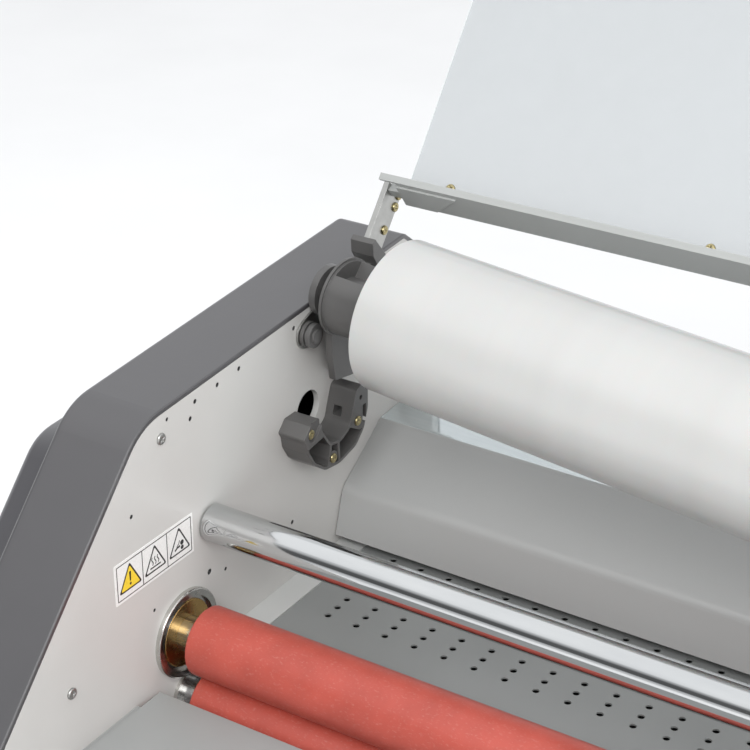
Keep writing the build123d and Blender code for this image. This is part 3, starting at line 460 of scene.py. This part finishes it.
def screw_head(mesh, place, r, height, turn):
    """Pan head with a rounded rim and a cross recess sunk into its top."""
    rings, spokes = 22, 64
    arm, reach = r * 0.15, r * 0.56
    recess_depth = height * 0.64
    rim_start, rim_drop, crown_drop = 0.78, 0.55, 0.18
    rows = []
    for i in range(rings + 1):
        rr = r * i / rings
        row = []
        for j in range(spokes):
            a = 2 * pi * j / spokes
            x, y = rr * cos(a), rr * sin(a)
            dome = height * (1 - crown_drop * (rr / r) ** 2)
            rim = max(0.0, (rr / r - rim_start) / (1 - rim_start))
            z = dome * (1 - rim ** 3 * rim_drop)
            u = abs(x * cos(turn) + y * sin(turn))
            v = abs(-x * sin(turn) + y * cos(turn))
            if min(u, v) < arm and max(u, v) < reach:
                z -= recess_depth * (1.0 - max(u, v) / reach * 0.6)
            row.append(mesh.verts.new(place @ Vector((x, y, max(z, 0.15 * height)))))
        rows.append(row)
    skirt = [mesh.verts.new(place @ Vector((r * cos(2 * pi * j / spokes), r * sin(2 * pi * j / spokes), 0)))
             for j in range(spokes)]
    rows.append(skirt)
    for i in range(1, rings + 1):
        for j in range(spokes):
            k = (j + 1) % spokes
            mesh.faces.new((rows[i][j], rows[i][k], rows[i + 1][k], rows[i + 1][j]))
    for j in range(spokes):
        k = (j + 1) % spokes
        mesh.faces.new((rows[0][0], rows[1][j], rows[1][k]))
    for vert in rows[0][1:]:
        mesh.verts.remove(vert)
    mesh.faces.new(skirt[::-1])


def ring(mesh, place, radius, section, spokes):
    """Ring of the given closed section: (outwards, up) pairs measured from the radius."""
    loops = []
    for j in range(spokes):
        a = 2 * pi * j / spokes
        loops.append([mesh.verts.new(place @ Vector(((radius + dr) * cos(a), (radius + dr) * sin(a), dz)))
                      for dr, dz in section])
    count = len(section)
    for j in range(spokes):
        k = (j + 1) % spokes
        for i in range(count):
            m = (i + 1) % count
            mesh.faces.new((loops[j][i], loops[k][i], loops[k][m], loops[j][m]))


# ------------------------------------------------------------------ safety label
label_low, label_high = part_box("warning_label")
label_mid = (label_low + label_high) / 2
label_plane = placing((label_high.x, label_mid.y, label_mid.z), (0, 1, 0), (0, 0, 1))
tile = 0.029


def triangle(x, y, side, r):
    """Rounded triangle that points up."""
    h = side * sqrt(3) / 2
    return rounded([(x - side / 2, y - h / 3), (x + side / 2, y - h / 3), (x, y + 2 * h / 3)], r)


marks = bmesh.new()
ink = 0.00006
half_w, half_h, line = 1.5 * tile, tile / 2, 0.0008
sign_y = -0.0022
frame_side, frame_corner, fill_side, fill_corner = 0.0262, 0.0016, 0.0215, 0.0010
for y in (-half_h, half_h):
    slab(marks, [(-half_w, y - line / 2), (half_w, y - line / 2), (half_w, y + line / 2),
                 (-half_w, y + line / 2)], label_plane, ink, 0)
for x in (-half_w, -tile / 2, tile / 2, half_w):
    slab(marks, [(x - line / 2, -half_h), (x + line / 2, -half_h), (x + line / 2, half_h),
                 (x - line / 2, half_h)], label_plane, ink, 0)
for k, fill in ((-1, 1), (0, 2), (1, 2)):
    x, y = k * tile, sign_y
    slab(marks, triangle(x, y, frame_side, frame_corner), label_plane, ink * 1.5, 0)
    slab(marks, triangle(x, y, fill_side, fill_corner), label_plane, ink * 2.2, fill)
x, y = -tile, sign_y
slab(marks, rounded([(x - 0.0011, y + 0.0072), (x + 0.0011, y + 0.0072), (x + 0.0006, y - 0.0008),
                     (x - 0.0006, y - 0.0008)], 0.0003), label_plane, ink * 3, 0)
slab(marks, disc_points(x, y - 0.0031, 0.0011), label_plane, ink * 3, 0)
for k in (-1, 0, 1):
    wave = [(k * 0.0033 + 0.0008 * sin(t * 2 * pi / 10), y - 0.0018 + 0.0068 * t / 10) for t in range(11)]
    stroke(marks, wave, 0.0009, label_plane, ink * 3, 0)
slab(marks, rounded([(-0.0062, y - 0.0042), (0.0062, y - 0.0042), (0.0062, y - 0.0030),
                     (-0.0062, y - 0.0030)], 0.0003), label_plane, ink * 3, 0)
x = tile
slab(marks, disc_points(x + 0.0030, y + 0.0004, 0.0021), label_plane, ink * 3, 0)
slab(marks, disc_points(x + 0.0030, y - 0.0038, 0.0018), label_plane, ink * 3, 0)
stroke(marks, [(x - 0.0058, y - 0.0034), (x - 0.0030, y - 0.0020), (x + 0.0006, y - 0.0016)], 0.0016,
       label_plane, ink * 3, 0)
stroke(marks, [(x - 0.0034, y - 0.0010), (x - 0.0008, y + 0.0008), (x + 0.0002, y + 0.0034)], 0.0009,
       label_plane, ink * 3, 0)
piece("label_pictograms", marks, "frame", [ink_black, ink_yellow, ink_white])

# ------------------------------------------------------------------ screw heads
mm = 0.001
plate_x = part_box("tie_rods")[1].x


def on_plate(side, y, z, lift=0.0):
    """Plane on the inner face of a side plate; side is -1 left, 1 right."""
    along = (0, 1, 0) if side < 0 else (0, -1, 0)
    return placing((side * (plate_x - lift), y * mm, z * mm), along, (0, 0, 1))


heads = bmesh.new()
for side in (-1, 1):
    for k, (y, z) in enumerate([(-80.6, 424.2), (-195, 270), (-240, 110), (230, 250)]):
        screw_head(heads, on_plate(side, y, z), 0.0045, 0.0020, 0.5 + k)
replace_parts(piece("plate_screw_heads", heads, "frame", [paint["zinc"]], True), "frame_screws")

heads = bmesh.new()
for side in (-1, 1):
    for k, (y, z, lift) in enumerate([(76.3, 362.6, 22.5), (104.1, 329.2, 25), (140.4, 347.0, 25)]):
        screw_head(heads, on_plate(side, y, z, lift * mm), 0.0042, 0.0018, 0.3 + k)
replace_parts(piece("cradle_screw_heads", heads, "frame", [paint["yellow_zinc"]], True),
            "cradle_screws")

heads = bmesh.new()
arm_lift = plate_x - abs(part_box("shield_arm_left")[1].x)
for side in (-1, 1):
    for k, (y, z) in enumerate([(211.6, 485.6), (227.9, 500.3), (233.6, 508.6)]):
        screw_head(heads, on_plate(side, y, z, arm_lift), 0.0040, 0.0020, 0.8 + k)
run, rise = 0.6, 0.8
for k, x in enumerate((-0.2975, -0.0735, 0.0735, 0.2975)):
    up, out = 0.0036, 0.0015
    spot = (x, 0.219 + run * up - rise * out, 0.527 + rise * up + run * out)
    screw_head(heads, placing(spot, (1, 0, 0), (0, run, rise)), 0.0040, 0.0024, 0.4 + k)
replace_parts(piece("shield_screw_heads", heads, "shield", [paint["yellow_zinc"]], True),
            "shield_screws")

# dark threaded sleeves with floor discs sunk in the small holes of the plates, painted shade that makes the
# holes look dark: y, z and radius of each hole in mm
hole_shade_liners = bmesh.new()
hole_shade_depth = 0.0045
plate_holes = [(-72.2, 436.3, 1.6), (-39, 436.3, 2.0), (-11.5, 438.2, 2.0), (15.7, 440.2, 2.0),
               (88.4, 444.9, 2.0), (115.3, 446.4, 2.2), (-117.9, 377.4, 1.8), (-45.5, 424.8, 2.0),
               (-30.6, 284.4, 2.6), (-10.2, 276.2, 1.8), (80.8, 272.5, 2.0), (-98.5, 286.8, 1.6)]
for side in (-1, 1):
    for y, z, r in plate_holes:
        at = on_plate(side, y, z)
        r = r * mm
        sleeve = [(0.0, -hole_shade_depth), (0.0, -0.0006), (-0.1 * r, -0.0003), (-0.3 * r, -0.0006),
                  (-0.3 * r, -0.0012), (-0.4 * r, -0.0016), (-0.3 * r, -0.0020), (-0.4 * r, -0.0024),
                  (-0.3 * r, -0.0028), (-0.3 * r, -hole_shade_depth)]
        ring(hole_shade_liners, at, r, sleeve, 28)
        slab(hole_shade_liners, disc_points(0, 0, 0.7 * r), at, 0.0005, 0, -hole_shade_depth)
piece("plate_hole_shade_liners", hole_shade_liners, "frame", [hole_shade_black])

# pleated filter under the perforated tray
tray_low, tray_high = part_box("perforated_tray")
pleats = bmesh.new()
top_z, bottom_z, pitch = tray_high.z - 0.0055, tray_high.z - 0.0105, 0.004
fold, margin = 0.0015, 0.004
x_end, y = tray_high.x - margin, tray_low.y + margin
rows = []
while y < tray_high.y - margin:
    z = top_z if len(rows) % 2 else top_z - fold
    rows.append([pleats.verts.new((side * x_end, y, height))
                 for height in (z, bottom_z) for side in (-1, 1)])
    y += pitch / 2
for here, there in zip(rows, rows[1:]):
    pleats.faces.new((here[0], here[1], there[1], there[0]))
    pleats.faces.new((here[3], here[2], there[2], there[3]))
    pleats.faces.new((here[0], there[0], there[2], here[2]))
    pleats.faces.new((here[1], here[3], there[3], there[1]))
for end in (rows[0], rows[-1]):
    pleats.faces.new((end[0], end[1], end[3], end[2]))
piece("tray_filter", pleats, "frame", [filter_foam])

# ------------------------------------------------------------------ controls
panel_low, panel_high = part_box("control_panel")
cover_rise, cover_run = 441.8 - 235, 295 - 100.9
slope = atan2(cover_rise, cover_run)
panel_length, panel_t = 0.150, 0.008
desk = placing(((panel_low.x + panel_high.x) / 2, panel_high.y - panel_length / 2 * cos(slope),
                panel_low.z + panel_length / 2 * sin(slope)), (1, 0, 0), (0, cos(slope), sin(slope)))


def box_points(x, y, w, h, r=0.0):
    corners = [(x - w / 2, y - h / 2), (x + w / 2, y - h / 2),
               (x + w / 2, y + h / 2), (x - w / 2, y + h / 2)]
    return rounded(corners, r) if r else corners


glass = bmesh.new()
glow, screen_top = 0.00008, panel_t - 0.0008
slab(glass, box_points(0, 0.050, 0.0412, 0.0252, 0.0018), desk, 0.0007, 0, panel_t - 0.0015)
for k, height in enumerate((0.004, 0.0065, 0.009, 0.0115, 0.0115, 0.009)):
    fill = 1 if k < 4 else 2
    bar = box_points(-0.0140 + k * 0.0042, 0.0428 + height / 2, 0.0030, height, 0.0004)
    slab(glass, bar, desk, glow, fill, screen_top)
slab(glass, disc_points(0.0150, 0.0560, 0.0026), desk, glow, 1, screen_top)
slab(glass, box_points(0.0150, 0.0466, 0.0066, 0.0016, 0.0004), desk, glow, 2, screen_top)
slab(glass, box_points(0.0, 0.0588, 0.0200, 0.0010, 0.0003), desk, glow, 2, screen_top)
piece("display_window", glass, "frame", [display_glass, display_lit, ink_pale])

marks = bmesh.new()
dial_y, stop_y, arrow_r = 0.014, -0.052, 0.0205
for k in range(11):
    a = radians(225 - 27 * k)
    start, stop, width = 0.0132, 0.0158 if k % 5 else 0.0168, 0.0005 + 0.00006 * k
    tick = [(start * cos(a), dial_y + start * sin(a)), (stop * cos(a), dial_y + stop * sin(a))]
    stroke(marks, tick, width, desk, ink, 0, panel_t)
for sign in (-1, 1):
    slab(marks, box_points(sign * 0.012, -0.0270, 0.0180, 0.0007, 0.0002), desk, ink, 0, panel_t)
for k in range(3):
    turn = radians(120 * k + 20)
    arc = [(arrow_r * cos(turn + radians(8 * i)), stop_y + arrow_r * sin(turn + radians(8 * i)))
           for i in range(10)]
    stroke(marks, arc, 0.0008, desk, ink, 0, panel_t)
    tip = turn + radians(72)
    out, across = Vector((cos(tip), sin(tip))), Vector((-sin(tip), cos(tip)))
    root = Vector((0.0, stop_y)) + out * arrow_r
    head = [tuple(root - out * 0.0018), tuple(root + out * 0.0018), tuple(root + across * 0.0036)]
    slab(marks, head, desk, ink, 0, panel_t)
piece("panel_marks", marks, "frame", [ink_pale])

run_mark = bmesh.new()
button_top = panel_t + 0.0025
arrow = rounded([(-0.0145, -0.0175), (-0.0145, -0.0105), (-0.0085, -0.0140)], 0.0006)
slab(run_mark, arrow, desk, ink, 0, button_top)
piece("run_mark", run_mark, "run_button", [ink_white])
stop_mark = bmesh.new()
slab(stop_mark, box_points(0.012, -0.014, 0.0056, 0.0056, 0.0005), desk, ink, 0, button_top)
piece("stop_mark", stop_mark, "stop_button", [ink_white])

grip = bmesh.new()
knob_top = panel_t + 0.0005 + 0.011
slab(grip, box_points(0, 0.0190, 0.0012, 0.0070, 0.0004), desk, ink * 2, 0, knob_top)
piece("knob_pointer", grip, "speed_knob", [ink_white])

mushroom = bmesh.new()
cap_top, cap_arc_r = panel_t + 0.015, 0.0082
for k in range(3):
    turn = radians(120 * k)
    arc = [(cap_arc_r * cos(turn + radians(9 * i)), stop_y + cap_arc_r * sin(turn + radians(9 * i)))
           for i in range(9)]
    stroke(mushroom, arc, 0.0009, desk, ink, 0, cap_top)
piece("stop_arrows", mushroom, "emergency_stop", [ink_white])

# ------------------------------------------------------------------ rear panel
rear_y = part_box("rear_panel")[1].y
heads = bmesh.new()
rear_screws = [(-345, 48), (-115, 40), (115, 40), (345, 48), (-345, 140), (345, 140), (0, 148)]
for k, (x, z) in enumerate(rear_screws):
    place = placing((x * mm, rear_y, z * mm), (-1, 0, 0), (0, 0, 1))
    screw_head(heads, place, 0.0040, 0.0019, 0.6 + k)
piece("rear_screw_heads", heads, "frame", [paint["zinc"]], True)

# ------------------------------------------------------------------ stage, light and camera
floor_mesh = bmesh.new()
bmesh.ops.create_grid(floor_mesh, x_segments=2, y_segments=2, size=60.0)
floor_data = bpy.data.meshes.new("floor")
floor_mesh.to_mesh(floor_data)
floor_mesh.free()
floor = bpy.data.objects.new("floor", floor_data)
scene.collection.objects.link(floor)
floor_surface = Surface("studio_floor", Roughness=0.9, Specular_IOR_Level=0.1)
floor_surface.set("Base Color", floor_surface.ramp(floor_surface.noise(3.0, 3.0),
                                                   [(0.3, (0.86, 0.86, 0.86)), (0.7, (0.89, 0.89, 0.89))]))
floor_data.materials.append(floor_surface.material)

world = bpy.data.worlds.new("studio")
scene.world = world
world.use_nodes = True
sky = world.node_tree
toward = sky.nodes.new("ShaderNodeSeparateXYZ")
sky.links.new(sky.nodes.new("ShaderNodeTexCoord").outputs["Generated"], toward.inputs[0])


def wall(stops):
    """Brightness of the studio by height, from the horizon at 0 to overhead at 1."""
    ramp = sky.nodes.new("ShaderNodeValToRGB")
    sky.links.new(toward.outputs["Z"], ramp.inputs["Fac"])
    while len(ramp.color_ramp.elements) < len(stops):
        ramp.color_ramp.elements.new(0.5)
    for element, (place, grey) in zip(ramp.color_ramp.elements, stops):
        element.position = place
        element.color = (grey * 0.985, grey, grey * 1.02, 1.0)
    return ramp.outputs["Color"]


to_rear = sky.nodes.new("ShaderNodeMapRange")
sky.links.new(toward.outputs["Y"], to_rear.inputs["Value"])
to_rear.inputs["From Min"].default_value, to_rear.inputs["From Max"].default_value = -0.3, 0.4
walls = sky.nodes.new("ShaderNodeMix")
walls.data_type = "RGBA"
sky.links.new(to_rear.outputs["Result"], walls.inputs["Factor"])
front_wall = wall([(0.0, 0.9), (0.05, 0.7), (0.11, 0.13), (0.36, 0.16), (0.54, 0.85), (0.78, 1.0)])
rear_wall = wall([(0.0, 0.95), (0.10, 0.85), (0.30, 0.95), (0.60, 1.0)])
sky.links.new(front_wall, walls.inputs[6])
sky.links.new(rear_wall, walls.inputs[7])
sky.links.new(walls.outputs[2], sky.nodes["Background"].inputs["Color"])
sky.nodes["Background"].inputs["Strength"].default_value = 0.95


def softbox(name, place, target, size, energy):
    light = bpy.data.lights.new(name, "AREA")
    light.shape = "RECTANGLE"
    light.size, light.size_y = size
    light.energy = energy
    lamp = bpy.data.objects.new(name, light)
    scene.collection.objects.link(lamp)
    lamp.location = place
    lamp.rotation_euler = (Vector(target) - Vector(place)).to_track_quat("-Z", "Y").to_euler()


softbox("key", (-0.8, -0.7, 2.8), (-0.2, 0.1, 0.3), (4.2, 3.4), 14.0)
softbox("side", (3.0, -0.6, 1.5), (-0.3, 0.0, 0.3), (4.4, 3.0), 62.0)
softbox("front", (1.0, -2.6, 2.7), (-0.2, 0.1, 0.3), (3.0, 2.0), 92.0)

camera_data = bpy.data.cameras.new("camera")
camera = bpy.data.objects.new("camera", camera_data)
scene.collection.objects.link(camera)
camera_data.sensor_width = 36.0
camera_data.lens = 95.23
camera_data.clip_start = 0.02
right, up = Vector((0.84165, 0.54002, 0.0)), Vector((-0.24330, 0.37920, 0.89275))
camera.matrix_world = placing((0.44902, -1.05512, 1.11022), right, up)
scene.camera = camera
scene.view_settings.view_transform = "Standard"
